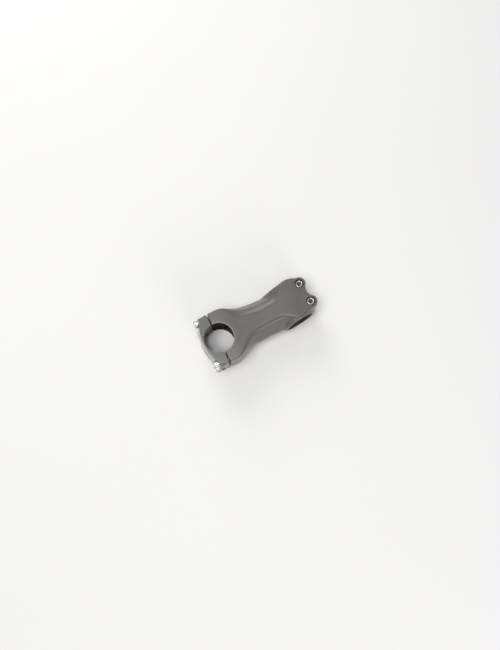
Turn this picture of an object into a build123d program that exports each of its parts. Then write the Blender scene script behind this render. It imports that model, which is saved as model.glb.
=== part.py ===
from build123d import *
import math
import os

# Bicycle handlebar stem with a four-bolt faceplate and a two-bolt steerer clamp.
# Origin: centre of the handlebar bore. +Z: along the handlebar. +X: from the
# handlebar to the steerer. The steerer axis lies in the XY plane, tilted.

# ---- driving dimensions, millimetres ----
BAR_R = 15.9  # 31.8 mm handlebar
STEERER_R = 14.3  # 28.6 mm steerer tube
EXTENSION = 85.0  # bar axis to steerer axis
STEM_ANGLE = 6.0  # degrees off square
HALF_WIDTH = 21.0  # half the handlebar clamp's width
EAR_Y = 28.5  # half the height of the clamp ears
SPLIT_X = -0.5  # clamp face of the body
GAP = 0.9  # gap between body and faceplate
BORE_EDGE = 0.8  # chamfer at the mouths of both bores

# Steerer clamp, from the stem's centre line
BOSS_R = 19.0
BOSS_UP = 23.3
BOSS_DOWN = 20.8
BOSS_EDGE = 1.8

# Socket head screws, M5
BOLT_R = 2.5
BOLT_TIP = 0.6
HEAD_H = 5.0
HEAD_EDGE = 0.45
SOCKET_FLATS = 4.0
SOCKET_DEPTH = 2.6
TAPPED_R = 2.53  # running fit on the thread
CLEAR_R = 2.75
WASHER_H = 1.0
WASHER_HOLE_R = 2.6

# Faceplate and its four bolts
FACE_HEAD_R = 3.75
FACE_WASHER_R = 3.9
FACE_BOLT_Y = 24.0
FACE_BOLT_Z = 16.5
FACE_BOLT_LEN = 20.0
FACE_SEAT_X = -11.5
FACE_SPOT_R = 4.3
FACE_TAP_DEPTH = 12.5
FACE_LAND_R = 4.5  # round land that each washer sits on
FACE_FRONT_X = -20.7
FACE_FRONT_R = 55.0  # plan radius of the crowned front at mid width
FACE_CROWN = 3.5  # how much further back its edges are
FACE_EDGE = 0.6
EAR_CORNER = 3.0
WINDOW_INNER_Y = 3.5  # the bridge between the two windows ends here
WINDOW_OUTER_Y = 14.2
WINDOW_Z = 11.0
WINDOW_CORNER = 3.0

# Pinch bolts: u from the steerer axis, v above the centre line
PINCH_HEAD_R = 4.0
PINCH_WASHER_R = 4.3
PINCH_U = 19.1
PINCH_V = 0.8
PINCH_HALF = 11.25
PINCH_LEN = 25.0
PINCH_SEAT_Z = 11.8
RECESS_R = 4.6
LOBE_R = 7.2
NOTCH_R = 10.3
NOTCH_U = 22.2
SLOT = 2.0
# Ears round the pinch bolts: corners (u, v) ahead of them, and the web between them
EARS_ABOVE = [(-4, 21.8), (8, 21.2)]
EARS_BELOW = [(8, -18.6), (-4, -19.5)]
WEB_U = 5.5  # past the row of bolts
WEB_V = 4.6  # inside each bolt

# Side outline of the body at mid width: ears, waist, steerer clamp
UPPER_SIDE = [(10, EAR_Y), (20, 26.6), (30, 23.4), (40, 21.9), (56, 21.3), (72, 21.6), (86, 22.4)]
LOWER_SIDE = [(10, -EAR_Y), (20, -25.6), (30, -22.6), (40, -21.2), (56, -20.6), (70, -21.2), (86, -20.4)]
REAR_SLOPE = 0.1  # both sides climb as they reach the steerer
# Ridges that bound the flat side faces, and where their facets reach mid width:
# y of both ridges and both skirts at these stations along the stem
RIDGE_Z = HALF_WIDTH + 0.5  # the ridges are given just outside the side faces
STATIONS = [12, 20, 28, 36, 46, 60, 72, 86]
UPPER_RIDGE = list(zip(STATIONS, [30, 23.8, 17.8, 13.8, 11.3, 10.9, 12.6, 22]))
UPPER_SKIRT = list(zip(STATIONS, [42, 33, 26.6, 23.5, 22.4, 22.2, 22.9, 25]))
LOWER_RIDGE = list(zip(STATIONS, [-29, -22.4, -16.2, -12.2, -10.6, -10.2, -11.2, -19]))
LOWER_SKIRT = list(zip(STATIONS, [-41, -32, -25.6, -22.6, -21.7, -21.5, -21.9, -23]))
# Half width along the stem: shallow waist, then a taper behind the steerer axis
WAIST_Z = [(14, HALF_WIDTH), (36, 20.0), (60, 20.0), (86, 20.3)]
TAPER_END = (116, 18.2)
# Hollow inside the extension, open to both bores
HOLLOW_HALF = [(-17.6, 0), (-9.0, 16.8), (9.0, 16.8)]
HOLLOW_X = (21.5, 63.0)
HOLLOW_EDGE = 3.0
HOLLOW_FRONT = (22.0, 28.0)  # height and width of its mouth in the handlebar bore
HOLLOW_FRONT_CORNER = 5.0
HOLLOW_REAR_R = 10.0  # its round mouth in the steerer bore

# ---- planes and places ----
TILT = math.radians(STEM_ANGLE)
UP = Vector(-math.sin(TILT), math.cos(TILT), 0)  # up the steerer
AWAY = Vector(math.cos(TILT), math.sin(TILT), 0)  # square to it, away from the bar
STEERER_AT = Vector(EXTENSION, 0, 0)
CLAMP = Plane(origin=STEERER_AT, x_dir=AWAY, z_dir=(0, 0, 1))
PINCH_PLACES = [(PINCH_U, PINCH_V + PINCH_HALF), (PINCH_U, PINCH_V - PINCH_HALF)]
FACE_BOLT_PLACES = [(y, z) for y in (FACE_BOLT_Y, -FACE_BOLT_Y) for z in (FACE_BOLT_Z, -FACE_BOLT_Z)]
REACH = 60.0  # longer than any cut needs
LEAD = 5.0  # how far the facets run ahead of the clamp face


def across_steerer(v):
    """Plane square to the steerer axis, v above the centre line, facing up it."""
    return Plane(origin=STEERER_AT + UP * v, x_dir=(0, 0, 1), z_dir=UP)


def bore_mouths(builder, radius):
    """The round edges of a bore that has been cut through."""
    rims = builder.edges(Select.LAST).filter_by(GeomType.CIRCLE)
    return rims.filter_by(lambda edge: abs(edge.radius - radius) < 0.01 and abs(edge.length) > radius)


def save(part, name):
    """Label one finished piece and write it."""
    part.label = name
    export_step(part, f"parts/{name}.step")


def extension_outline(upper, lower):
    """Closed outline from the clamp ears to the steerer, through two rows of points."""
    front_x = SPLIT_X - LEAD
    with BuildSketch() as outline:
        with BuildLine():
            top = Spline(*upper)
            bottom = Spline(*lower)
            Line(top @ 1, bottom @ 1)
            Polyline(top @ 0, (front_x, upper[0][1]), (front_x, lower[0][1]), bottom @ 0)
        make_face()
    return outline.sketch


os.makedirs("parts", exist_ok=True)

# ---- helper solids of the stem body ----
# Facets that run from the flat side faces down to mid width.
with BuildPart() as facets:
    with BuildSketch(Plane.XY):
        add(extension_outline(UPPER_SKIRT, LOWER_SKIRT))
    with BuildSketch(Plane.XY.offset(RIDGE_Z)):
        add(extension_outline(UPPER_RIDGE, LOWER_RIDGE))
    loft(ruled=True)
    mirror(about=Plane.XY)

# What comes off the side faces: the waist and the taper.
with BuildPart() as side_relief:
    with BuildSketch(Plane.XZ):
        with BuildLine():
            waist = Spline(*WAIST_Z, tangents=[(1, 0), (1, 0)])
            taper = Line(waist @ 1, TAPER_END)
            Polyline(taper @ 1, (TAPER_END[0], REACH), (WAIST_Z[0][0], REACH), waist @ 0)
        make_face()
    extrude(amount=REACH, both=True)
    mirror(about=Plane.XY)

# Round housing of the steerer clamp.
with BuildPart() as steerer_boss:
    with BuildSketch(across_steerer(-BOSS_DOWN)):
        Circle(BOSS_R)
    extrude(amount=BOSS_DOWN + BOSS_UP)
    fillet(steerer_boss.edges().filter_by(GeomType.CIRCLE), BOSS_EDGE)

# Hollow of the extension, with a mouth into each bore.
with BuildPart() as hollow:
    with BuildSketch(Plane.YZ.offset(HOLLOW_X[0])):
        Polygon(*HOLLOW_HALF, *[(-y, -z) for y, z in HOLLOW_HALF], align=None)
    extrude(amount=HOLLOW_X[1] - HOLLOW_X[0])
    fillet(hollow.edges().filter_by(Axis.X), HOLLOW_EDGE)
    with BuildSketch(Plane.YZ.offset(BAR_R / 2)):
        RectangleRounded(*HOLLOW_FRONT, HOLLOW_FRONT_CORNER)
    extrude(amount=HOLLOW_X[0] - BAR_R / 2)
    with BuildSketch(Plane.YZ.offset(HOLLOW_X[1])):
        Circle(HOLLOW_REAR_R)
    extrude(amount=EXTENSION - STEERER_R / 2 - HOLLOW_X[1])

# ---- stem body ----
with BuildPart() as stem_body:
    with BuildSketch(Plane.XY):
        with BuildLine():
            upper = Spline(*UPPER_SIDE, tangents=[(1, 0), (1, REAR_SLOPE)])
            lower = Spline(*LOWER_SIDE, tangents=[(1, 0), (1, REAR_SLOPE)])
            Line((SPLIT_X, EAR_Y), upper @ 0)
            Line((SPLIT_X, -EAR_Y), lower @ 0)
            Line((SPLIT_X, -EAR_Y), (SPLIT_X, EAR_Y))
            Line(upper @ 1, lower @ 1)
        make_face()
    extrude(amount=HALF_WIDTH, both=True)
    add(facets.part, mode=Mode.INTERSECT)

    # ears of the steerer clamp, one lobe round each pinch bolt
    with BuildSketch(CLAMP):
        with BuildLine():
            Polyline(
                *EARS_ABOVE,
                (PINCH_U, PINCH_V + PINCH_HALF + LOBE_R),
                (PINCH_U + WEB_U, PINCH_V + PINCH_HALF - WEB_V),
                (PINCH_U + WEB_U, PINCH_V - PINCH_HALF + WEB_V),
                (PINCH_U, PINCH_V - PINCH_HALF - LOBE_R),
                *EARS_BELOW,
                close=True,
            )
        make_face()
        with Locations(*PINCH_PLACES):
            Circle(LOBE_R)
        with Locations((NOTCH_U + NOTCH_R, PINCH_V)):
            Circle(NOTCH_R, mode=Mode.SUBTRACT)
    extrude(amount=HALF_WIDTH, both=True)
    add(side_relief.part, mode=Mode.SUBTRACT)
    add(steerer_boss.part)
    add(hollow.part, mode=Mode.SUBTRACT)

    # handlebar bore
    with BuildSketch(Plane.XY):
        Circle(BAR_R)
    extrude(amount=REACH, both=True, mode=Mode.SUBTRACT)
    chamfer(bore_mouths(stem_body, BAR_R), BORE_EDGE)

    # steerer bore
    with BuildSketch(across_steerer(-REACH)):
        Circle(STEERER_R)
    extrude(amount=2 * REACH, mode=Mode.SUBTRACT)
    chamfer(bore_mouths(stem_body, STEERER_R), BORE_EDGE)

    # pinch slot, from the bore out through the rear
    with BuildSketch(across_steerer(-REACH)):
        with Locations((0, (REACH + STEERER_R) / 2)):
            Rectangle(SLOT, REACH)
    extrude(amount=2 * REACH, mode=Mode.SUBTRACT)

    # pinch bolts: head recess, clearance hole to the slot, tapped hole beyond it
    with BuildSketch(CLAMP.offset(PINCH_SEAT_Z)):
        with Locations(*PINCH_PLACES):
            Circle(RECESS_R)
    extrude(amount=REACH, mode=Mode.SUBTRACT)
    with BuildSketch(CLAMP):
        with Locations(*PINCH_PLACES):
            Circle(CLEAR_R)
    extrude(amount=REACH, mode=Mode.SUBTRACT)
    with BuildSketch(CLAMP):
        with Locations(*PINCH_PLACES):
            Circle(TAPPED_R)
    extrude(amount=-REACH, mode=Mode.SUBTRACT)

    # blind tapped holes for the faceplate bolts
    with BuildSketch(Plane.YZ.offset(SPLIT_X)):
        with Locations(*FACE_BOLT_PLACES):
            Circle(TAPPED_R)
    extrude(amount=FACE_TAP_DEPTH, mode=Mode.SUBTRACT)
save(stem_body.part, "stem_body")

# ---- faceplate ----
parting_x = SPLIT_X - GAP
crown_axis_x = FACE_FRONT_X + FACE_FRONT_R
with BuildPart() as faceplate:
    # crowned front, turned about an axis far behind the clamp
    with BuildSketch(Plane.XZ):
        with BuildLine():
            edge_x = FACE_FRONT_X + FACE_CROWN
            crown = ThreePointArc((edge_x, HALF_WIDTH), (FACE_FRONT_X, 0), (edge_x, -HALF_WIDTH))
            Polyline(crown @ 0, (crown_axis_x, HALF_WIDTH), (crown_axis_x, -HALF_WIDTH), crown @ 1)
        make_face()
    revolve(axis=Axis((crown_axis_x, 0, 0), (0, 0, 1)))
    with BuildSketch(Plane.XY):
        with Locations((parting_x - REACH / 2, 0)):
            Rectangle(REACH, 2 * EAR_Y)
    extrude(amount=HALF_WIDTH, both=True, mode=Mode.INTERSECT)
    ear_sides = faceplate.faces().filter_by(Axis.Y).edges()
    fillet(ear_sides.group_by(Axis.X)[0], EAR_CORNER)
    rims = faceplate.faces().filter_by(Axis.Z).edges()
    fillet(rims.filter_by(lambda edge: edge.center().X < parting_x - 0.1), FACE_EDGE)

    # a land round each bolt
    with BuildSketch(Plane.YZ.offset(FACE_SEAT_X)):
        with Locations(*FACE_BOLT_PLACES):
            Circle(FACE_LAND_R)
    extrude(amount=parting_x - FACE_SEAT_X)

    with BuildSketch(Plane.XY):
        Circle(BAR_R)
    extrude(amount=REACH, both=True, mode=Mode.SUBTRACT)
    chamfer(bore_mouths(faceplate, BAR_R), BORE_EDGE)

    # two windows in the front, one each side of a bridge
    window_y = (WINDOW_OUTER_Y + WINDOW_INNER_Y) / 2
    with BuildSketch(Plane.YZ.offset(-REACH)):
        with Locations((window_y, 0), (-window_y, 0)):
            RectangleRounded(WINDOW_OUTER_Y - WINDOW_INNER_Y, 2 * WINDOW_Z, WINDOW_CORNER)
    extrude(amount=REACH - BAR_R / 2, mode=Mode.SUBTRACT)

    # spot faces and clearance holes for the bolts
    with BuildSketch(Plane.YZ.offset(FACE_SEAT_X)):
        with Locations(*FACE_BOLT_PLACES):
            Circle(FACE_SPOT_R)
    extrude(amount=-REACH, mode=Mode.SUBTRACT)
    with BuildSketch(Plane.YZ):
        with Locations(*FACE_BOLT_PLACES):
            Circle(CLEAR_R)
    extrude(amount=-REACH, mode=Mode.SUBTRACT)
save(faceplate.part, "faceplate")


def washer(seat, radius):
    """Flat washer lying on the seat plane."""
    with BuildPart() as ring:
        with BuildSketch(seat):
            Circle(radius)
            Circle(WASHER_HOLE_R, mode=Mode.SUBTRACT)
        extrude(amount=WASHER_H)
    return ring.part


def socket_screw(seat, head_r, length):
    """Socket head screw: head above the seat plane, shank below it."""
    along = Axis(seat.origin, seat.z_dir)
    with BuildPart() as screw:
        with BuildSketch(seat):
            Circle(head_r)
        extrude(amount=HEAD_H)
        chamfer(screw.edges().sort_by(along)[-1], HEAD_EDGE)
        with BuildSketch(seat):
            Circle(BOLT_R)
        extrude(amount=-length)
        chamfer(screw.edges().sort_by(along)[0], BOLT_TIP)
        with BuildSketch(seat.offset(HEAD_H)):
            RegularPolygon(SOCKET_FLATS / 2, 6, major_radius=False)
        extrude(amount=-SOCKET_DEPTH, mode=Mode.SUBTRACT)
    return screw.part


# ---- faceplate washers and bolts, heads to the front ----
for number, (y, z) in enumerate(FACE_BOLT_PLACES, start=1):
    face_seat = Plane(origin=(FACE_SEAT_X, y, z), x_dir=(0, 1, 0), z_dir=(-1, 0, 0))
    save(washer(face_seat, FACE_WASHER_R), f"faceplate_washer_{number}")
    save(socket_screw(face_seat.offset(WASHER_H), FACE_HEAD_R, FACE_BOLT_LEN), f"faceplate_bolt_{number}")

# ---- pinch washers and bolts, heads to the +Z side ----
for number, (u, v) in enumerate(PINCH_PLACES, start=1):
    at = STEERER_AT + AWAY * u + UP * v + Vector(0, 0, PINCH_SEAT_Z)
    pinch_seat = Plane(origin=at, x_dir=AWAY, z_dir=(0, 0, 1))
    save(washer(pinch_seat, PINCH_WASHER_R), f"pinch_washer_{number}")
    save(socket_screw(pinch_seat.offset(WASHER_H), PINCH_HEAD_R, PINCH_LEN), f"pinch_bolt_{number}")
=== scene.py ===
import math

import bmesh
import bpy
import numpy as np
from mathutils import Matrix, Vector


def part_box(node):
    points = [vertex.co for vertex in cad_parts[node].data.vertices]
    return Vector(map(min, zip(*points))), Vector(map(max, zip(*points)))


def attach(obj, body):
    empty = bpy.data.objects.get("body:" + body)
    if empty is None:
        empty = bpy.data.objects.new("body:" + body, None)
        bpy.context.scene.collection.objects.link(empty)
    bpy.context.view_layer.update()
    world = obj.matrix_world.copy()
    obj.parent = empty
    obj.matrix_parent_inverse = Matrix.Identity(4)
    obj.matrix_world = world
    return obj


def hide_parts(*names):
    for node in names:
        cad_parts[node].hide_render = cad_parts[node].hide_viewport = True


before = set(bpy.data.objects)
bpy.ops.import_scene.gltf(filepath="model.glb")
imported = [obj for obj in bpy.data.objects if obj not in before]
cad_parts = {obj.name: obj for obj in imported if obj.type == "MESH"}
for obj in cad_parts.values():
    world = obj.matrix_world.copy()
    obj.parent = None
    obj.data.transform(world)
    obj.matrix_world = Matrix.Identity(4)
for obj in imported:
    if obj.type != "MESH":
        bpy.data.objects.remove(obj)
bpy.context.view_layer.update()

MM = 0.001

# ---- sizes, millimetres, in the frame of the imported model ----
BAR_R = 15.9
BODY_MOUTH = 1.5  # chamfer at the mouths of the handlebar bore, body side
FACE_MOUTH = 0.5  # and faceplate side
STEERER_R = 14.3
STEERER_MOUTH = 1.5
HALF_WIDTH = 21.0
EAR_Y = 28.5
SPLIT_X = -0.5
GAP = 0.9
TAPPED_R = 2.53
CLEAR_R = 2.75

EXTENSION = 85.0
STEM_TILT = math.radians(6.0)
AWAY = np.array([math.cos(STEM_TILT), math.sin(STEM_TILT)])  # from the bar, square to the steerer
UP = np.array([-math.sin(STEM_TILT), math.cos(STEM_TILT)])  # up the steerer
BOSS_R = 19.0
BOSS_UP = 23.3
BOSS_DOWN = 20.8
BOSS_EDGE = 1.9
BOSS_MIDDLE = (BOSS_UP - BOSS_DOWN) / 2
BOSS_HALF = (BOSS_UP + BOSS_DOWN) / 2

PINCH_U = 19.1
PINCH_V = 0.8
PINCH_HALF = 11.25
PINCH_SEAT_Z = 11.8
RECESS_R = 4.6
RECESS_MOUTH = 0.4  # chamfer at the recesses' mouths
LOBE_R = 7.2
NOTCH_R = 9.8
NOTCH_U = 21.5
SLOT = 2.0

FACE_BOLT_Y = 24.0
FACE_BOLT_Z = 16.5
FACE_SEAT_X = -11.5
FACE_SPOT_R = 4.3
FACE_LAND_R = 4.5
FACE_TAP_DEPTH = 12.5
TAP_LEAD = 0.5  # chamfer at the tapped holes' mouths
FACE_FRONT_X = -20.7
FACE_FRONT_R = 55.0
FACE_CROWN = 3.5
EAR_CORNER = 6.0
EAR_END = 2.2  # round where the ears' ends meet the parting faces
WINDOW_INNER_Y = 3.5
WINDOW_OUTER_Y = 14.2
WINDOW_Z = 11.0
WINDOW_CORNER = 3.0

HOLLOW_HALF = [(-17.6, 0), (-9.0, 16.8), (9.0, 16.8)]
HOLLOW_X = (21.5, 63.0)
HOLLOW_EDGE = 3.0
HOLLOW_FRONT = (22.0, 28.0)
HOLLOW_FRONT_CORNER = 5.0
HOLLOW_REAR_R = 10.0

BODY_GRID = 0.5  # cell size of the body's skin
FACE_GRID = 0.4  # cell size of the faceplate's skin
CLEAN_STEP = 0.004  # points closer than this are one


# ---- shaping by distance fields ----
class Curve:
    """Smooth curve y(x) through a few points, with its slope. Straight beyond its ends."""

    STEP = 0.25
    LEAD = 60.0

    def __init__(self, points):
        x, y = np.array(points, float).T
        count = len(x)
        gap = np.diff(x)
        rise = np.diff(y) / gap
        system = np.eye(count)
        right = np.zeros(count)
        for i in range(1, count - 1):
            system[i, i - 1 : i + 2] = gap[i - 1], 2 * (gap[i - 1] + gap[i]), gap[i]
            right[i] = 6 * (rise[i] - rise[i - 1])
        bend = np.linalg.solve(system, right)
        self.x = np.arange(x[0], x[-1] + self.STEP / 2, self.STEP)
        i = np.clip(np.searchsorted(x, self.x) - 1, 0, count - 2)
        left, over = self.x - x[i], x[i + 1] - self.x
        self.y = (
            (bend[i] * over**3 + bend[i + 1] * left**3) / (6 * gap[i])
            + (y[i] / gap[i] - bend[i] * gap[i] / 6) * over
            + (y[i + 1] / gap[i] - bend[i + 1] * gap[i] / 6) * left
        )
        slope = np.gradient(self.y, self.x)
        self.x = np.concatenate([[x[0] - self.LEAD], self.x, [x[-1] + self.LEAD]])
        ends = self.y[0] - slope[0] * self.LEAD, self.y[-1] + slope[-1] * self.LEAD
        self.y = np.concatenate([[ends[0]], self.y, [ends[1]]])
        self.slope = np.concatenate([[slope[0]], slope, [slope[-1]]])

    def at(self, x):
        return np.interp(x, self.x, self.y)

    def slope_at(self, x):
        return np.interp(x, self.x, self.slope)


def round_max(a, b, radius):
    """Intersection of two fields, with the outside corner rounded."""
    corner = np.sqrt(np.maximum(a + radius, 0) ** 2 + np.maximum(b + radius, 0) ** 2)
    return np.minimum(-radius, np.maximum(a, b)) + corner


def round_min(a, b, radius):
    """Union of two fields, with the inside corner filled by a fillet."""
    corner = np.sqrt(np.maximum(radius - a, 0) ** 2 + np.maximum(radius - b, 0) ** 2)
    return np.maximum(radius, np.minimum(a, b)) - corner


def polygon_field(u, v, corners):
    """Signed distance to a closed polygon, negative inside."""
    nearest = np.full(np.broadcast(u, v).shape, 1e9)
    inside = np.zeros(nearest.shape, bool)
    for (u0, v0), (u1, v1) in zip(corners, corners[1:] + corners[:1]):
        du, dv = u1 - u0, v1 - v0
        share = np.clip(((u - u0) * du + (v - v0) * dv) / (du * du + dv * dv), 0, 1)
        nearest = np.minimum(nearest, (u - u0 - share * du) ** 2 + (v - v0 - share * dv) ** 2)
        crosses = (v0 <= v) != (v1 <= v)
        inside ^= crosses & (u < u0 + (v - v0) * du / (dv if dv else 1e-9))
    return np.where(inside, -1, 1) * np.sqrt(nearest)


def skin(field, low, high, step):
    """Closed quad mesh on a field's zero surface: vertices in millimetres, and faces."""
    axes = [np.arange(a, b + step, step) for a, b in zip(low, high)]
    grid = np.meshgrid(*axes, indexing="ij", sparse=True)
    value = np.broadcast_to(field(*grid), [len(a) for a in axes]).astype(np.float32)
    cells = [len(a) - 1 for a in axes]
    total = np.zeros(cells + [3], np.float32)
    hits = np.zeros(cells, np.float32)
    edges = []
    for axis in range(3):
        first = np.take(value, range(cells[axis]), axis)
        second = np.take(value, range(1, cells[axis] + 1), axis)
        crossing = (first < 0) != (second < 0)
        index = np.argwhere(crossing)
        share = first[crossing] / (first[crossing] - second[crossing])
        place = np.stack([axes[k][index[:, k]] for k in range(3)], 1)
        place[:, axis] += share * step
        others = [k for k in range(3) if k != axis]
        corner_cells = []
        for back in ((0, 0), (1, 0), (1, 1), (0, 1)):
            cell = index.copy()
            cell[:, others[0]] -= back[0]
            cell[:, others[1]] -= back[1]
            np.add.at(total, tuple(cell.T), place)
            np.add.at(hits, tuple(cell.T), 1)
            corner_cells.append(cell)
        flip = (first[crossing] < 0) == (axis == 1)
        edges.append((corner_cells, flip))
    active = np.argwhere(hits > 0)
    number = np.full(cells, -1)
    number[tuple(active.T)] = np.arange(len(active))
    points = (total[tuple(active.T)] / hits[tuple(active.T)][:, None]).astype(float)
    faces = []
    for corner_cells, flip in edges:
        quad = np.stack([number[tuple(cell.T)] for cell in corner_cells], 1)
        quad[flip] = quad[flip][:, ::-1]
        faces.append(quad)
    for _ in range(3):
        points -= settle(field, points)
    return points, np.concatenate(faces)


def settle(field, points, delta=0.02):
    """The step that brings each point onto the field's zero surface."""
    here = field(*points.T)
    slope = np.stack(
        [(field(*(points + offset).T) - field(*(points - offset).T)) for offset in delta * np.eye(3)], 1
    ) / (2 * delta)
    size = np.maximum((slope**2).sum(1), 0.05)
    return np.clip(here / size, -0.4, 0.4)[:, None] * slope


# ---- mesh helpers ----
def new_piece(name, points, faces):
    """A mesh object from points in millimetres."""
    mesh = bpy.data.meshes.new(name)
    mesh.from_pydata((np.asarray(points) * MM).tolist(), [], [list(map(int, f)) for f in faces])
    mesh.validate()
    mesh.update()
    piece = bpy.data.objects.new(name, mesh)
    bpy.context.scene.collection.objects.link(piece)
    return piece


def smooth(piece, degrees=35):
    """Smooth shading, with a hard edge where faces meet at more than this angle."""
    mesh = piece.data
    mesh.shade_smooth()
    mesh.set_sharp_from_angle(angle=math.radians(degrees))


def apply_modifiers(piece):
    graph = bpy.context.evaluated_depsgraph_get()
    mesh = bpy.data.meshes.new_from_object(piece.evaluated_get(graph))
    piece.modifiers.clear()
    piece.data = mesh


def cut(piece, cutter, finishes, per_ring=None):
    """Take one closed cutter out of a piece, and throw the cutter away.

    The cut faces get the finishes: the first one, or those numbered ring by ring.
    """
    for finish in finishes:
        cutter.data.materials.append(finish)
    if per_ring:
        pattern = [0, *per_ring, 0]
        for face in cutter.data.polygons:
            face.material_index = pattern[face.index % len(pattern)]
    modifier = piece.modifiers.new("cut", "BOOLEAN")
    modifier.operation = "DIFFERENCE"
    modifier.solver = "EXACT"
    modifier.material_mode = "TRANSFER"
    modifier.object = cutter
    apply_modifiers(piece)
    bpy.data.objects.remove(cutter)


def clean(piece):
    """Merge points that the cuts left almost together, and drop faces without area."""
    shape = bmesh.new()
    shape.from_mesh(piece.data)
    bmesh.ops.remove_doubles(shape, verts=shape.verts, dist=CLEAN_STEP * MM)
    bmesh.ops.dissolve_degenerate(shape, dist=CLEAN_STEP * MM, edges=shape.edges)
    shape.to_mesh(piece.data)
    shape.free()


def turned(name, profile, origin, along, sides=128):
    """Closed body of rings. profile: (height, radius) or (height, radius function of angle)."""
    angles = np.arange(sides) * 2 * math.pi / sides
    rings = []
    for height, radius in profile:
        r = radius(angles) if callable(radius) else np.full(sides, float(radius))
        rings.append(np.stack([r * np.cos(angles), r * np.sin(angles), np.full(sides, height)], 1))
    return ring_body(name, rings, origin, along)


def ring_body(name, rings, origin, along):
    """Closed body through rings of equal length, capped at both ends by a centre point."""
    sides = len(rings[0])
    points = np.concatenate([[rings[0].mean(0)], *rings, [rings[-1].mean(0)]])
    faces = []
    for j in range(sides):
        k = (j + 1) % sides
        faces.append((0, 1 + k, 1 + j))
        for ring in range(len(rings) - 1):
            a = 1 + ring * sides
            faces.append((a + j, a + k, a + sides + k, a + sides + j))
        last = 1 + (len(rings) - 1) * sides
        faces.append((last + j, last + k, len(points) - 1))
    turn = np.array(Vector((0, 0, 1)).rotation_difference(Vector(along)).to_matrix())
    return new_piece(name, points @ turn.T + np.array(origin), faces)


def rounded_polygon(corners, radius, steps=7):
    """Outline of a convex polygon, given counterclockwise, with rounded corners."""
    outline = []
    corners = [Vector(corner) for corner in corners]
    for before, corner, after in zip(corners[-1:] + corners[:-1], corners, corners[1:] + corners[:1]):
        back, on = (before - corner).normalized(), (after - corner).normalized()
        half = back.angle(on) / 2
        centre = corner + (back + on).normalized() * (radius / math.sin(half))
        first = corner + back * (radius / math.tan(half)) - centre
        start = math.atan2(first.y, first.x)
        for share in np.linspace(0, 1, steps):
            turn = start + share * (math.pi - 2 * half)
            outline.append((centre.x + radius * math.cos(turn), centre.y + radius * math.sin(turn)))
    return outline


def prism_cutter(outline, start_x, end_x):
    """Bar along X with an outline in Y and Z."""
    rings = [np.array([(x, y, z) for y, z in outline]) for x in (start_x, end_x)]
    return ring_body("cutter", rings, (0, 0, 0), (0, 0, 1))


def box_cutter(centre, axes, half):
    """Box with its own axes, as a cutter."""
    piece = bpy.data.objects.new("cutter", bpy.data.meshes.new("cutter"))
    bpy.context.scene.collection.objects.link(piece)
    shape = bmesh.new()
    bmesh.ops.create_cube(shape, size=2.0)
    matrix = Matrix([[axes[c][r] * half[c] * MM for c in range(3)] for r in range(3)]).to_4x4()
    matrix.translation = Vector(centre) * MM
    bmesh.ops.transform(shape, matrix=matrix, verts=shape.verts)
    bmesh.ops.recalc_face_normals(shape, faces=shape.faces)
    shape.to_mesh(piece.data)
    shape.free()
    return piece


def clamp_point(u, v, z):
    """Place given from the steerer axis (u) and the stem's centre line (v)."""
    x, y = np.array([EXTENSION, 0]) + AWAY * u + UP * v
    return (x, y, z)


# ---- stem body ----
UPPER_SIDE = Curve([(10, EAR_Y), (20, 27.0), (30, 24.3), (40, 22.5), (56, 21.3), (72, 21.4), (86, 22.6)])
LOWER_SIDE = Curve(
    [(10, -EAR_Y), (20, -25.2), (30, -21.6), (40, -20.9), (56, -20.6), (70, -21.2), (86, -20.4)]
)
STATIONS = [12, 20, 28, 36, 46, 60, 72, 86]
UPPER_RIDGE = Curve(list(zip(STATIONS, [30, 23.8, 17.8, 13.8, 11.3, 10.9, 12.6, 22])))
UPPER_SKIRT = Curve(list(zip(STATIONS, [42, 33.4, 27.6, 24.5, 22.9, 22.1, 23.0, 25])))
LOWER_RIDGE = Curve(list(zip(STATIONS, [-29, -22.4, -16.2, -12.2, -10.6, -10.2, -11.2, -19])))
LOWER_SKIRT = Curve(list(zip(STATIONS, [-41, -31.4, -24.6, -22.0, -21.5, -21.5, -21.9, -23])))
RIDGE_Z = HALF_WIDTH + 0.5
WAIST = Curve(
    [(-5, 21), (6, 21), (16, 20.9), (28, 20.4), (42, 20), (62, 20), (80, 20.2), (96, 19.7), (112, 18.6)]
)
EXTENSION_END = 86.0
SHARP_ROUND = 1.6  # round of the wide faces' edges at both clamps
UPPER_ROUND = 6.5  # and along the extension, on the upper side
LOWER_ROUND = 3.8  # and on the lower side
ROUND_X = (20.0, 76.0)  # the soft rounds run between these
ROUND_BLEND = 4.0
FACET_ROUND = 1.8
BOSS_FILLET = 3.5
BOSS_FILLET_SPREAD = 1.5
EAR_STRAIGHT = 10.0  # the ears' walls are straight up to here
EARS_ABOVE = [(-4, 23.0), (8, 23.0), (15, 21.7)]
EARS_BELOW = [(8, -18.6), (-4, -19.5)]
WEB_U = 5.5
WEB_V = 4.6
REAR_OUTLINE = [
    *EARS_ABOVE,
    (PINCH_U, PINCH_V + PINCH_HALF + LOBE_R),
    (PINCH_U + WEB_U, PINCH_V + PINCH_HALF - WEB_V),
    (PINCH_U + WEB_U, PINCH_V - PINCH_HALF + WEB_V),
    (PINCH_U, PINCH_V - PINCH_HALF - LOBE_R),
    *EARS_BELOW,
]


def side_field(x, y, curve, sign):
    """Distance outside one of the two curves of the side outline, with the ear's wall ahead of it."""
    reach = np.where(x < EAR_STRAIGHT, sign * EAR_Y, curve.at(x))
    return sign * (y - reach) / np.sqrt(1 + curve.slope_at(x) ** 2)


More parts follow.
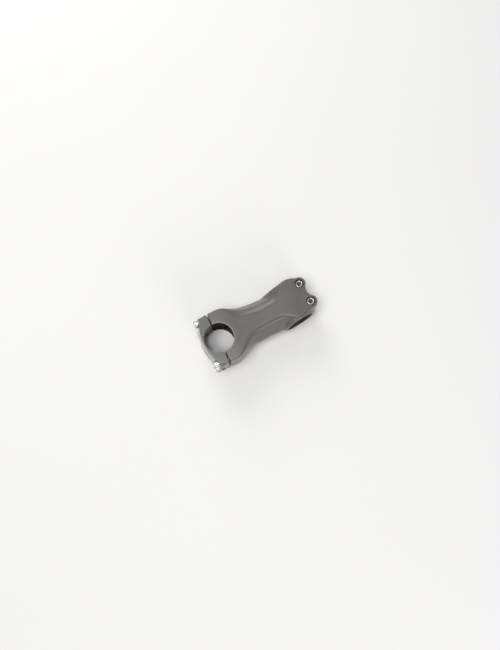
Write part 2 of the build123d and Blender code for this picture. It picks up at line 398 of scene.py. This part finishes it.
def facet_field(x, y, z, ridge, skirt, sign):
    """Distance outside the facet that runs from a ridge down to its skirt at mid width."""
    share = 1 - np.abs(z) / RIDGE_Z
    reach = skirt.at(x) - ridge.at(x)
    edge = ridge.at(x) + reach * share
    lean = ridge.slope_at(x) + (skirt.slope_at(x) - ridge.slope_at(x)) * share
    steep = reach / RIDGE_Z
    return sign * (y - edge) / np.sqrt(1 + lean**2 + steep**2)


def half_width(x):
    """Half the body's width along its length."""
    return WAIST.at(x)


def ridge_round(x, y):
    """Radius of the round between the wide faces and the facets: soft along the extension only."""
    start, end = ROUND_X
    along = (1 + np.tanh((x - start) / ROUND_BLEND)) * (1 - np.tanh((x - end) / ROUND_BLEND)) / 4
    upper = (1 + np.tanh(y / ROUND_BLEND)) / 2
    return SHARP_ROUND + along * (LOWER_ROUND - SHARP_ROUND + upper * (UPPER_ROUND - LOWER_ROUND))


def rear_field(u, v):
    """Side outline of the steerer clamp's ears."""
    shape = polygon_field(u, v, REAR_OUTLINE)
    for side in (1, -1):
        lobe = np.hypot(u - PINCH_U, v - PINCH_V - side * PINCH_HALF) - LOBE_R
        shape = np.minimum(shape, lobe)
    notch = NOTCH_R - np.hypot(u - NOTCH_U - NOTCH_R, v - PINCH_V)
    return np.maximum(shape, notch)


def body_field(x, y, z):
    """The forged envelope of the stem body, before any machining."""
    u = (x - EXTENSION) * AWAY[0] + y * AWAY[1]
    v = (x - EXTENSION) * UP[0] + y * UP[1]
    side = np.maximum(side_field(x, y, UPPER_SIDE, 1), side_field(x, y, LOWER_SIDE, -1))
    side = np.minimum(np.maximum(side, x - EXTENSION_END), rear_field(u, v))
    side = round_max(side, SPLIT_X - x, EAR_END)
    shape = round_max(side, facet_field(x, y, z, UPPER_RIDGE, UPPER_SKIRT, 1), FACET_ROUND)
    shape = round_max(shape, facet_field(x, y, z, LOWER_RIDGE, LOWER_SKIRT, -1), FACET_ROUND)
    boss = round_max(np.hypot(u, z) - BOSS_R, np.abs(v - BOSS_MIDDLE) - BOSS_HALF, BOSS_EDGE)
    blend = BOSS_FILLET + BOSS_FILLET_SPREAD * np.tanh(v / 6)  # fuller fillet above than below
    shape = round_min(shape, boss, blend)
    return round_max(shape, np.abs(z) - half_width(x), ridge_round(x, y))


def bore_cutter(radius, mouth, half, origin, along):
    """Straight bore with a chamfer at both mouths."""
    far = half + 8
    wide = radius + mouth + 8
    profile = [(-far, wide), (-half + mouth, radius), (half - mouth, radius), (far, wide)]
    return turned("cutter", profile, origin, along, 192)


def make_body(finish, bore, mouth):
    low, high = (-2.5, -31, -23), (114, 31, 23)
    piece = new_piece("stem_body_skin", *skin(body_field, low, high, BODY_GRID))
    for used in (finish, bore, mouth):
        piece.data.materials.append(used)
    # faces cut inside the bores, hollow, slot and holes take the darker material, which is a painted shade
    cut(piece, prism_cutter(hollow_outline(), *HOLLOW_X), [bore])
    half_y, half_z = HOLLOW_FRONT[0] / 2, HOLLOW_FRONT[1] / 2
    front = [(-half_y, -half_z), (half_y, -half_z), (half_y, half_z), (-half_y, half_z)]
    cut(piece, prism_cutter(rounded_polygon(front, HOLLOW_FRONT_CORNER), BAR_R / 2, HOLLOW_X[0] + 1), [bore])
    rear = [(HOLLOW_X[1] - 1, HOLLOW_REAR_R), (EXTENSION - STEERER_R / 2, HOLLOW_REAR_R)]
    cut(piece, turned("cutter", rear, (0, 0, 0), (1, 0, 0), 96), [bore])
    cut(piece, bore_cutter(BAR_R, BODY_MOUTH, HALF_WIDTH, (0, 0, 0), (0, 0, 1)), [bore, mouth], [1, 0, 1])
    steerer = bore_cutter(STEERER_R, STEERER_MOUTH, BOSS_HALF, clamp_point(0, BOSS_MIDDLE, 0), (*UP, 0))
    cut(piece, steerer, [bore])
    axes = ((*AWAY, 0), (*UP, 0), (0, 0, 1))
    reach = 25.0  # half the slot cutter's length, well past the ears
    slot = box_cutter(clamp_point(STEERER_R - 4 + reach, 0, 0), axes, (reach, 40, SLOT / 2))
    cut(piece, slot, [bore])
    for side in (1, -1):
        place = clamp_point(PINCH_U, PINCH_V + side * PINCH_HALF, 0)
        top = half_width(place[0]) + 0.2
        profile = [
            (-40, TAPPED_R),
            (0, TAPPED_R),
            (0.01, CLEAR_R),
            (PINCH_SEAT_Z, CLEAR_R),
            (PINCH_SEAT_Z, RECESS_R),
            (top - RECESS_MOUTH, RECESS_R),
            (top - RECESS_MOUTH + 4, RECESS_R + 4),
        ]
        cut(piece, turned("cutter", profile, place, (0, 0, 1), 96), [bore])
    for y in (FACE_BOLT_Y, -FACE_BOLT_Y):
        for z in (FACE_BOLT_Z, -FACE_BOLT_Z):
            wide = TAPPED_R + TAP_LEAD
            profile = [(-FACE_TAP_DEPTH, TAPPED_R), (-TAP_LEAD, TAPPED_R), (0, wide), (3, wide)]
            cut(piece, turned("cutter", profile, (SPLIT_X, y, z), (-1, 0, 0), 64), [bore])
    clean(piece)
    smooth(piece)
    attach(piece, "body")
    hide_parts("stem_body")


def hollow_outline():
    """Hexagonal section of the hollow inside the extension."""
    corners = HOLLOW_HALF + [(-y, -z) for y, z in HOLLOW_HALF]
    return rounded_polygon(corners[::-1], HOLLOW_EDGE)


# ---- faceplate ----
PARTING_X = SPLIT_X - GAP
CROWN_AXIS_X = FACE_FRONT_X + FACE_FRONT_R
CROWN_R = (HALF_WIDTH**2 + FACE_CROWN**2) / (2 * FACE_CROWN)
WINDOW_MIDDLE = (WINDOW_INNER_Y + WINDOW_OUTER_Y) / 2
WINDOW_HALF = (WINDOW_OUTER_Y - WINDOW_INNER_Y) / 2
FACE_BOLT_PLACES = [(y, z) for y in (FACE_BOLT_Y, -FACE_BOLT_Y) for z in (FACE_BOLT_Z, -FACE_BOLT_Z)]


def window_field(x, y, z):
    """The two windows, one each side of the bridge, running into the bore."""
    across = np.abs(np.abs(y) - WINDOW_MIDDLE) - WINDOW_HALF + WINDOW_CORNER
    along = np.abs(z) - WINDOW_Z + WINDOW_CORNER
    inside = np.minimum(np.maximum(across, along), 0)
    edge = np.hypot(np.maximum(across, 0), np.maximum(along, 0)) + inside - WINDOW_CORNER
    return np.maximum(edge, x + BAR_R / 2)


def faceplate_field(x, y, z):
    """The faceplate before its bore and holes are machined."""
    out = np.hypot(x - CROWN_AXIS_X, y) - FACE_FRONT_R + CROWN_R
    ends = round_max(np.abs(y) - EAR_Y, x - PARTING_X, EAR_END)
    shape = round_max(np.hypot(out, z) - CROWN_R, ends, EAR_CORNER)
    for bolt_y, bolt_z in FACE_BOLT_PLACES:
        land = round_max(np.hypot(y - bolt_y, z - bolt_z) - FACE_LAND_R, FACE_SEAT_X - x, 0.3)
        shape = round_min(shape, land, 0.6)
    shape = round_max(shape, ends, 0.4)
    shape = round_max(shape, np.abs(z) - HALF_WIDTH, 0.45)
    return round_max(shape, -window_field(x, y, z), 0.7)


def make_faceplate(finish, bore, mouth):
    low, high = (-23, -31, -23), (0, 31, 23)
    piece = new_piece("faceplate_skin", *skin(faceplate_field, low, high, FACE_GRID))
    piece.data.materials.append(finish)
    # the bore's chamfers and the bolt spot faces take the paler edge material, which is partly a painted
    # highlight
    cut(piece, bore_cutter(BAR_R, FACE_MOUTH, HALF_WIDTH, (0, 0, 0), (0, 0, 1)), [bore, mouth], [1, 0, 1])
    for y, z in FACE_BOLT_PLACES:
        profile = [(-20, CLEAR_R), (0, CLEAR_R), (0, FACE_SPOT_R), (20, FACE_SPOT_R)]
        cut(piece, turned("cutter", profile, (FACE_SEAT_X, y, z), (-1, 0, 0), 96), [mouth])
    clean(piece)
    smooth(piece)
    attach(piece, "faceplate_carrier")
    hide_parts("faceplate")


# ---- screws and washers ----
HEAD_H = 5.0
BOLT_R = 2.5
THREAD_PITCH = 0.8
THREAD_DEPTH = 0.45
THREAD_END = -3.0  # the thread stops this far below the head
SOCKET_FLATS = 4.0
SOCKET_DEPTH = 2.6
FASTENER_SIDES = 96


def fastener_box(node, axis):
    """Middle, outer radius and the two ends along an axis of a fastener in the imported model."""
    low, high = (np.array(corner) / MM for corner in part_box(node))
    other = (axis + 1) % 3
    return (low + high) / 2, (high[other] - low[other]) / 2, low[axis], high[axis]


def hexagon(flats):
    """Radius of a hexagon as a function of angle."""
    def radius(angles):
        return flats / 2 / np.cos((angles + math.pi / 6) % (math.pi / 3) - math.pi / 6)
    return radius


def knurled(radius, depth=0.1):
    """Radius of a knurled side, one ridge to every two points."""
    def ridges(angles):
        return radius - depth / 2 + depth / 2 * np.cos(angles * FASTENER_SIDES / 2)
    return ridges


def threaded(height, length):
    """Radius of a screw's thread at one height below its head, as a function of angle."""
    run_in = (height + length) / 0.9
    run_out = (THREAD_END - height) / 0.8
    tip = max(0.0, 0.6 - (height + length))
    full = THREAD_DEPTH * max(0.0, min(1.0, run_in, run_out))

    def radius(angles):
        phase = (height / THREAD_PITCH - angles / (2 * math.pi)) % 1.0
        return BOLT_R - full * np.abs(2 * phase - 1) - tip
    return radius


def arc_profile(centre, radius, start, end, steps):
    """(height, radius) points along a round in a turned profile."""
    turn = np.radians(np.linspace(start, end, steps))
    return [(centre[0] + radius * math.sin(t), centre[1] + radius * math.cos(t)) for t in turn]


def make_screw(name, origin, along, head_r, length, finish, socket_shade):
    """Socket head screw with a real thread. origin is under the head, along points out of the head."""
    count = int((length + THREAD_END) / THREAD_PITCH * 8)
    heights = [-length + step * THREAD_PITCH / 8 for step in range(count + 1)]
    profile = [(height, threaded(height, length)) for height in heights]
    profile += [(THREAD_END + 0.3, BOLT_R), (-0.3, BOLT_R), (0, BOLT_R + 0.25)]
    profile += arc_profile((0.3, head_r - 0.3), 0.3, -90, 0, 4)
    profile += [(0.55, knurled(head_r)), (HEAD_H - 1.25, knurled(head_r)), (HEAD_H - 1.0, head_r - 0.03)]
    profile += arc_profile((HEAD_H - 0.6, head_r - 0.6), 0.6, 10, 90, 6)
    outside = len(profile) + 1
    profile += [
        (HEAD_H, 2.75),
        (HEAD_H - 0.3, hexagon(SOCKET_FLATS + 0.3)),
        (HEAD_H - 0.45, hexagon(SOCKET_FLATS)),
        (HEAD_H - SOCKET_DEPTH, hexagon(SOCKET_FLATS)),
        (HEAD_H - SOCKET_DEPTH - 0.05, hexagon(SOCKET_FLATS - 0.4)),
        (HEAD_H - SOCKET_DEPTH - 0.8, 0.6),
    ]
    piece = turned(name, profile, origin, along, FASTENER_SIDES)
    piece.data.materials.append(finish)
    piece.data.materials.append(socket_shade)
    # faces inside the socket take the dark material, a painted shade
    for face in piece.data.polygons:
        face.material_index = int(face.index % (len(profile) + 1) > outside)
    smooth(piece, 32)
    return piece


def make_washer(name, origin, along, radius, thickness, finish):
    """Flat washer with rolled edges, built as a closed ring."""
    hole = 2.6
    edge = 0.22
    section = [
        (hole + edge, 0),
        (radius - edge, 0),
        (radius, edge),
        (radius, thickness - edge),
        (radius - edge, thickness),
        (hole + edge, thickness),
        (hole, thickness - edge),
        (hole, edge),
    ]
    points = []
    for r, height in section:
        for step in range(FASTENER_SIDES):
            angle = step * 2 * math.pi / FASTENER_SIDES
            points.append((r * math.cos(angle), r * math.sin(angle), height))
    faces = []
    for row in range(len(section)):
        here, there = row * FASTENER_SIDES, (row + 1) % len(section) * FASTENER_SIDES
        for step in range(FASTENER_SIDES):
            on = (step + 1) % FASTENER_SIDES
            faces.append((here + step, here + on, there + on, there + step))
    turn = np.array(Vector((0, 0, 1)).rotation_difference(Vector(along)).to_matrix())
    piece = new_piece(name, np.array(points) @ turn.T + np.array(origin), faces)
    piece.data.materials.append(finish)
    smooth(piece, 32)
    return piece


# ---- materials ----
CLOUDS = 60  # noise scales, per metre: clouds of colour
PATCHES = 380  # broken up wear
SMUDGES = 240  # breaks up the paler edges, partly wear and partly painted highlight
EDGE_WEAR_AND_HIGHLIGHT = (0.53, 0.62)  # pointiness where the paler edges, partly wear and partly painted highlight, start and are full
AHEAD = (0.62, 0.8)  # how squarely the surface looks ahead where the brighter front, partly bare metal and partly painted highlight, starts and is full


def material(name, colour, metallic, roughness):
    made = bpy.data.materials.new(name)
    made.use_nodes = True
    shader = made.node_tree.nodes["Principled BSDF"]
    shader.inputs["Base Color"].default_value = (*colour, 1)
    shader.inputs["Metallic"].default_value = metallic
    shader.inputs["Roughness"].default_value = roughness
    return made, made.node_tree, shader


def add_noise(tree, scale, detail, source):
    noise = tree.nodes.new("ShaderNodeTexNoise")
    noise.inputs["Scale"].default_value = scale
    noise.inputs["Detail"].default_value = detail
    tree.links.new(source.outputs["Object"], noise.inputs["Vector"])
    return noise


def ramp(tree, source, low, high, start, end):
    """Colour ramp between two colours or grey values, from one factor to another."""
    node = tree.nodes.new("ShaderNodeValToRGB")
    node.color_ramp.elements[0].position = start
    node.color_ramp.elements[1].position = end
    for element, value in zip(node.color_ramp.elements, (low, high)):
        element.color = (*value, 1) if hasattr(value, "__len__") else (value, value, value, 1)
    tree.links.new(source, node.inputs["Fac"])
    return node


def scaled(tone, share):
    return tuple(c * share for c in tone)


def weathered(name, tone, roughness, spread, grain, bump_mm, wear_and_highlight_tone=None, metallic=0.0, level=0.5):
    """A finish with clouded colour, uneven gloss, fine grain and, if asked, paler edges: partly wear, partly
    a painted highlight on convex edges.

    spread is how far colour and roughness vary; grain is the number of grains per metre.
    """
    made, tree, shader = material(name, tone, metallic, roughness)
    shader.inputs["Specular IOR Level"].default_value = level
    place = tree.nodes.new("ShaderNodeTexCoord")
    cloud = add_noise(tree, CLOUDS, 5, place)
    tint = ramp(tree, cloud.outputs["Fac"], scaled(tone, 1 - spread), scaled(tone, 1 + spread), 0.3, 0.7)
    colour = tint.outputs["Color"]
    # paler convex edges found by pointiness: partly wear, partly a painted highlight where edges catch the
    # light
    if wear_and_highlight_tone:
        worn_and_lit = tree.nodes.new("ShaderNodeMix")
        worn_and_lit.data_type = "RGBA"
        edges = tree.nodes.new("ShaderNodeNewGeometry")
        broken = tree.nodes.new("ShaderNodeMath")
        broken.operation = "MULTIPLY"
        mask = ramp(tree, edges.outputs["Pointiness"], 0.0, 1.0, *EDGE_WEAR_AND_HIGHLIGHT)
        patches = ramp(tree, add_noise(tree, PATCHES, 4, place).outputs["Fac"], 0.1, 1.0, 0.4, 0.65)
        tree.links.new(mask.outputs["Color"], broken.inputs[0])
        tree.links.new(patches.outputs["Color"], broken.inputs[1])
        tree.links.new(broken.outputs[0], worn_and_lit.inputs["Factor"])
        tree.links.new(colour, worn_and_lit.inputs["A"])
        worn_and_lit.inputs["B"].default_value = (*wear_and_highlight_tone, 1)
        colour = worn_and_lit.outputs["Result"]
    tree.links.new(colour, shader.inputs["Base Color"])
    gloss = add_noise(tree, SMUDGES, 4, place)
    rough = ramp(tree, gloss.outputs["Fac"], roughness * (1 - spread), roughness * (1 + spread), 0.3, 0.7)
    tree.links.new(rough.outputs["Color"], shader.inputs["Roughness"])
    bump = tree.nodes.new("ShaderNodeBump")
    bump.inputs["Strength"].default_value = 1.0
    bump.inputs["Distance"].default_value = bump_mm * MM
    tree.links.new(add_noise(tree, grain, 2, place).outputs["Fac"], bump.inputs["Height"])
    tree.links.new(bump.outputs["Normal"], shader.inputs["Normal"])
    return made


def polish_and_painted_highlight_ahead(made, tone, metallic):
    """Turn a finish into brighter bare metal where the surface looks ahead, toward -X; the brightness is
    partly bare metal and partly a painted highlight on the faces that look ahead.
    """
    tree = made.node_tree
    shader = tree.nodes["Principled BSDF"]
    split = tree.nodes.new("ShaderNodeSeparateXYZ")
    ahead = tree.nodes.new("ShaderNodeMath")
    ahead.operation = "MULTIPLY"
    ahead.inputs[1].default_value = -1.0
    tree.links.new(tree.nodes.new("ShaderNodeNewGeometry").outputs["Normal"], split.inputs["Vector"])
    tree.links.new(split.outputs["X"], ahead.inputs[0])
    share = ramp(tree, ahead.outputs[0], 0.0, 1.0, *AHEAD).outputs["Color"]
    bright = tree.nodes.new("ShaderNodeMix")
    bright.data_type = "RGBA"
    bright.inputs["B"].default_value = (*tone, 1)
    tree.links.new(share, bright.inputs["Factor"])
    tree.links.new(shader.inputs["Base Color"].links[0].from_socket, bright.inputs["A"])
    tree.links.new(bright.outputs["Result"], shader.inputs["Base Color"])
    metal = ramp(tree, share, 0.0, metallic, 0.0, 1.0)
    tree.links.new(metal.outputs["Color"], shader.inputs["Metallic"])


BODY_TONE = (0.136, 0.128, 0.1215)
# body and faceplate get paler convex edges: partly wear, partly a painted highlight
body_alloy = weathered("body_alloy", BODY_TONE, 0.3, 0.06, 3500, 0.008, scaled(BODY_TONE, 1.5))
face_alloy = weathered("faceplate_alloy", BODY_TONE, 0.26, 0.05, 3500, 0.004, scaled(BODY_TONE, 1.4))
# the faceplate's front faces are made brighter and more metallic: partly bare metal, partly a painted
# highlight
polish_and_painted_highlight_ahead(face_alloy, (0.46, 0.45, 0.44), 0.8)
# painted shade: a darker, unglossy material for the faces inside the bores, hollow, slot and holes,
# darkening these recesses
bore_painted_shade = weathered("bore_painted_shade", (0.055, 0.05, 0.046), 0.6, 0.2, 2500, 0.01, level=0.0)
face_bore = weathered("faceplate_bore", (0.14, 0.135, 0.13), 0.5, 0.15, 2500, 0.008, level=0.2)
# chamfers and spot faces, paler than the body: partly bare machined metal, partly a painted highlight on the
# rims
machined_edge_and_highlight = weathered("machined_edge_and_highlight", (0.3, 0.29, 0.28), 0.3, 0.06, 3000, 0.003)
bolt_steel = weathered("bolt_steel", (0.5, 0.49, 0.473), 0.3, 0.12, 2600, 0.003, metallic=1.0)
washer_steel = weathered("washer_steel", (0.5, 0.485, 0.47), 0.34, 0.12, 2600, 0.004, metallic=1.0)
# painted shade: a dark colour inside the hex sockets, darkening the recess
socket_painted_shade = weathered("socket_painted_shade", (0.09, 0.085, 0.08), 0.5, 0.2, 2600, 0.006)

# ---- build ----
make_body(body_alloy, bore_painted_shade, machined_edge_and_highlight)
make_faceplate(face_alloy, face_bore, machined_edge_and_highlight)

OUT_OF_FACE = (-1, 0, 0)
for number in (1, 2, 3, 4):
    node = f"faceplate_washer_{number}"
    middle, radius, front, seat = fastener_box(node, 0)
    place = (seat, middle[1], middle[2])
    washer = make_washer(f"face_washer_{number}", place, OUT_OF_FACE, radius, seat - front, washer_steel)
    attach(washer, "faceplate_carrier")
    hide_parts(node)
    node = f"faceplate_bolt_{number}"
    middle, radius, front, tip = fastener_box(node, 0)
    place = (front + HEAD_H, middle[1], middle[2])
    screw = make_screw(
        f"face_screw_{number}", place, OUT_OF_FACE, radius, tip - front - HEAD_H, bolt_steel, socket_painted_shade
    )
    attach(screw, f"face_bolt_{number}")
    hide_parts(node)

OUT_OF_CLAMP = (0, 0, 1)
for number in (1, 2):
    node = f"pinch_washer_{number}"
    middle, radius, seat, top = fastener_box(node, 2)
    place = (middle[0], middle[1], seat)
    washer = make_washer(f"clamp_washer_{number}", place, OUT_OF_CLAMP, radius, top - seat, washer_steel)
    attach(washer, f"pinch_carrier_{number}")
    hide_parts(node)
    node = f"pinch_bolt_{number}"
    middle, radius, tip, top = fastener_box(node, 2)
    place = (middle[0], middle[1], top - HEAD_H)
    screw = make_screw(
        f"clamp_screw_{number}", place, OUT_OF_CLAMP, radius, top - HEAD_H - tip, bolt_steel, socket_painted_shade
    )
    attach(screw, f"pinch_screw_{number}")
    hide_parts(node)

# ---- floor, light and camera ----
REST_Z = -HALF_WIDTH
REST_TILT = math.atan2(HALF_WIDTH - 20.3, 86.0)  # the steerer clamp is a little narrower
FLOOR_HALF = 3.0
FLOOR_TONE = (0.873, 0.867, 0.86)
FLOOR_SPREAD = 0.005


def make_floor():
    half = FLOOR_HALF
    corners = [(-half, -half), (half, -half), (half, half), (-half, half)]
    mesh = bpy.data.meshes.new("floor")
    level = [(x, y, REST_Z * MM + x * math.tan(REST_TILT)) for x, y in corners]
    mesh.from_pydata(level, [], [(0, 1, 2, 3)])
    floor = bpy.data.objects.new("floor", mesh)
    bpy.context.scene.collection.objects.link(floor)
    made, tree, shader = material("floor_paper", FLOOR_TONE, 0.0, 0.9)
    place = tree.nodes.new("ShaderNodeTexCoord")
    low, high = ([tone + shift for tone in FLOOR_TONE] for shift in (-FLOOR_SPREAD, FLOOR_SPREAD))
    tint = ramp(tree, add_noise(tree, 3, 2, place).outputs["Fac"], low, high, 0.3, 0.7)
    tree.links.new(tint.outputs["Color"], shader.inputs["Base Color"])
    mesh.materials.append(made)


def area_light(name, place, target, size, watts):
    data = bpy.data.lights.new(name, "AREA")
    data.shape = "DISK"
    data.size = size
    data.energy = watts
    lamp = bpy.data.objects.new(name, data)
    lamp.location = place
    lamp.rotation_euler = (Vector(target) - Vector(place)).to_track_quat("-Z", "Y").to_euler()
    bpy.context.scene.collection.objects.link(lamp)


make_floor()
STEM_MIDDLE = Vector((0.045, 0, 0))
KEY_AWAY = 2.5  # metres
KEY_LEAN = math.radians(14)  # off the vertical
KEY_TURN = math.radians(190)  # toward the faceplate's side
KEY_DIRECTION = Vector(
    (math.sin(KEY_LEAN) * math.cos(KEY_TURN), math.sin(KEY_LEAN) * math.sin(KEY_TURN), math.cos(KEY_LEAN))
)
# name, place and size in metres, watts
LIGHTS = [
    ("key", STEM_MIDDLE + KEY_DIRECTION * KEY_AWAY, 1.3, 38),
    ("side", (0.15, 1.25, 0.75), 0.9, 7),
    ("low", (0.1, -1.3, 0.55), 0.7, 4),
]
for name, place, size, watts in LIGHTS:
    area_light(name, place, STEM_MIDDLE, size, watts)

WORLD_STRENGTH = 0.28
world = bpy.data.worlds.new("studio")
world.use_nodes = True
world.node_tree.nodes["Background"].inputs["Color"].default_value = (1, 1, 1, 1)
world.node_tree.nodes["Background"].inputs["Strength"].default_value = WORLD_STRENGTH
bpy.context.scene.world = world
bpy.context.scene.view_settings.view_transform = "Standard"

CAMERA_TARGET = Vector((0.03702, 0.00066, 0.0))
CAMERA_DISTANCE = 0.7528
AZIMUTH = math.radians(-26.86)
ELEVATION = math.radians(79.32)
LENS = 38.44

back = Vector(
    (
        math.sin(AZIMUTH) * math.cos(ELEVATION),
        -math.cos(AZIMUTH) * math.cos(ELEVATION),
        math.sin(ELEVATION),
    )
)
camera_data = bpy.data.cameras.new("camera")
camera_data.lens = LENS
camera_data.sensor_width = 36
camera = bpy.data.objects.new("camera", camera_data)
camera.location = CAMERA_TARGET + back * CAMERA_DISTANCE
camera.rotation_euler = back.to_track_quat("Z", "Y").to_euler()
bpy.context.scene.collection.objects.link(camera)
bpy.context.scene.camera = camera
